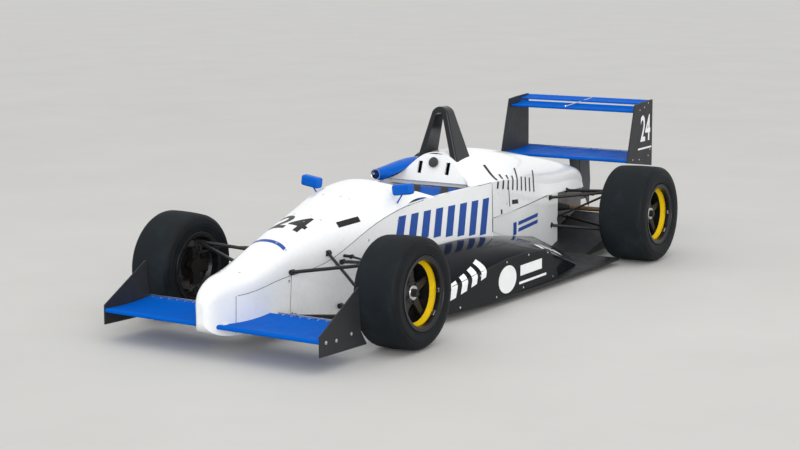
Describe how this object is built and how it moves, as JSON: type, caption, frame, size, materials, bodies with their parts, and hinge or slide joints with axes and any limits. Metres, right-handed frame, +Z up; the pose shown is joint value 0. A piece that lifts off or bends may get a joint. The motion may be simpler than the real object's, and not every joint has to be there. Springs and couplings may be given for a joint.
{
  "type": "open wheel racing car",
  "caption": "Single-seat open wheel racing car with slick tyres, front and rear wings, roll hoop, side pods and steered front wheels.",
  "frame": {"origin": "on the ground, centred between the nose tip and the rear wing's tail and between the wheels", "axes": "-Y points forward along the car, +X to the car's left, +Z up"},
  "size_m": [1.741, 4.13, 1.012],
  "materials": {
    "white_paint": "gloss",
    "blue_paint": "gloss",
    "black_gloss": "gloss",
    "charcoal": "satin",
    "black_steel": "satin",
    "tyre": "matte",
    "wheel_metal": "satin",
    "magnesium": "satin",
    "cooler": "matte",
    "bronze_steel": "satin",
    "blue_seat": "gloss",
    "pad_foam": "matte",
    "belt_web": "matte",
    "suede": "matte"
  },
  "bodies": {
    "chassis": {"nose_cone": "white_paint", "nose_box": "white_paint", "monocoque": "white_paint", "engine_cover": "white_paint", "side_panels": "white_paint", "headrest_panel": "white_paint", "headrest_pad": "pad_foam", "roll_hoop": "black_gloss", "air_scoop": "blue_paint", "mirrors": "blue_paint", "seat": "blue_seat", "harness": "belt_web", "dash_panel": "charcoal", "sidepod_left": "black_gloss", "sidepod_right": "black_gloss", "radiators": "cooler", "floor": "black_gloss", "front_wing_left": "blue_paint", "front_wing_right": "blue_paint", "front_endplates": "charcoal", "rear_wing_lower": "blue_paint", "rear_wing_upper": "blue_paint", "rear_endplates": "charcoal", "wing_pylon": "charcoal", "engine_block": "magnesium", "gearbox": "magnesium", "front_suspension_left": "black_steel", "front_suspension_right": "black_steel", "rear_suspension_left": "black_steel", "rear_suspension_right": "black_steel", "rear_upright_left": "magnesium", "rear_upright_right": "magnesium", "driveshafts": "bronze_steel"},
    "knuckle_left": {"front_upright_left": "magnesium"},
    "knuckle_right": {"front_upright_right": "magnesium"},
    "steering_wheel": {"steering_wheel": "suede"},
    "steering_rack": {"track_rods": "black_steel"},
    "roadwheel_front_left": {"tyre_front_left": "tyre", "wheel_front_left": "wheel_metal"},
    "roadwheel_front_right": {"tyre_front_right": "tyre", "wheel_front_right": "wheel_metal"},
    "roadwheel_rear_left": {"tyre_rear_left": "tyre", "wheel_rear_left": "wheel_metal"},
    "roadwheel_rear_right": {"tyre_rear_right": "tyre", "wheel_rear_right": "wheel_metal"}
  },
  "joints": [
    {"name": "steer_left", "type": "hinge", "parent": "chassis", "child": "knuckle_left", "pos_m": [0.5855, -1.364, 0.40671], "axis": [-0.0384, 0.0307, 0.9988], "range_deg": [-15, 15]},
    {"name": "steer_right", "type": "hinge", "parent": "chassis", "child": "knuckle_right", "pos_m": [-0.5855, -1.364, 0.40671], "axis": [0.0384, 0.0307, 0.9988], "range_deg": [-15, 15]},
    {"name": "steering_wheel_turn", "type": "hinge", "parent": "chassis", "child": "steering_wheel", "pos_m": [0, -0.55, 0.52], "axis": [0, 0.9511, 0.309], "range_deg": [-150, 150]},
    {"name": "rack_travel", "type": "slide", "parent": "chassis", "child": "steering_rack", "axis": [1, 0, 0], "range_m": [-0.0239, 0.0239]},
    {"name": "roll_front_left", "type": "hinge", "parent": "knuckle_left", "child": "roadwheel_front_left", "pos_m": [0.6905, -1.368, 0.27671], "axis": [0.9994, 0, 0.0349], "continuous": true},
    {"name": "roll_front_right", "type": "hinge", "parent": "knuckle_right", "child": "roadwheel_front_right", "pos_m": [-0.6905, -1.368, 0.27671], "axis": [0.9994, 0, -0.0349], "continuous": true},
    {"name": "roll_rear_left", "type": "hinge", "parent": "chassis", "child": "roadwheel_rear_left", "pos_m": [0.717, 1.307, 0.29052], "axis": [0.9997, 0, 0.0227], "continuous": true},
    {"name": "roll_rear_right", "type": "hinge", "parent": "chassis", "child": "roadwheel_rear_right", "pos_m": [-0.717, 1.307, 0.29052], "axis": [0.9997, 0, -0.0227], "continuous": true}
  ],
  "couplings": [
    {"joint": "steer_right", "follows": "steer_left", "ratio": 1},
    {"joint": "steering_wheel_turn", "follows": "steer_left", "ratio": 10},
    {"joint": "rack_travel", "follows": "steer_left", "m_per_rad": -0.09095}
  ]
}
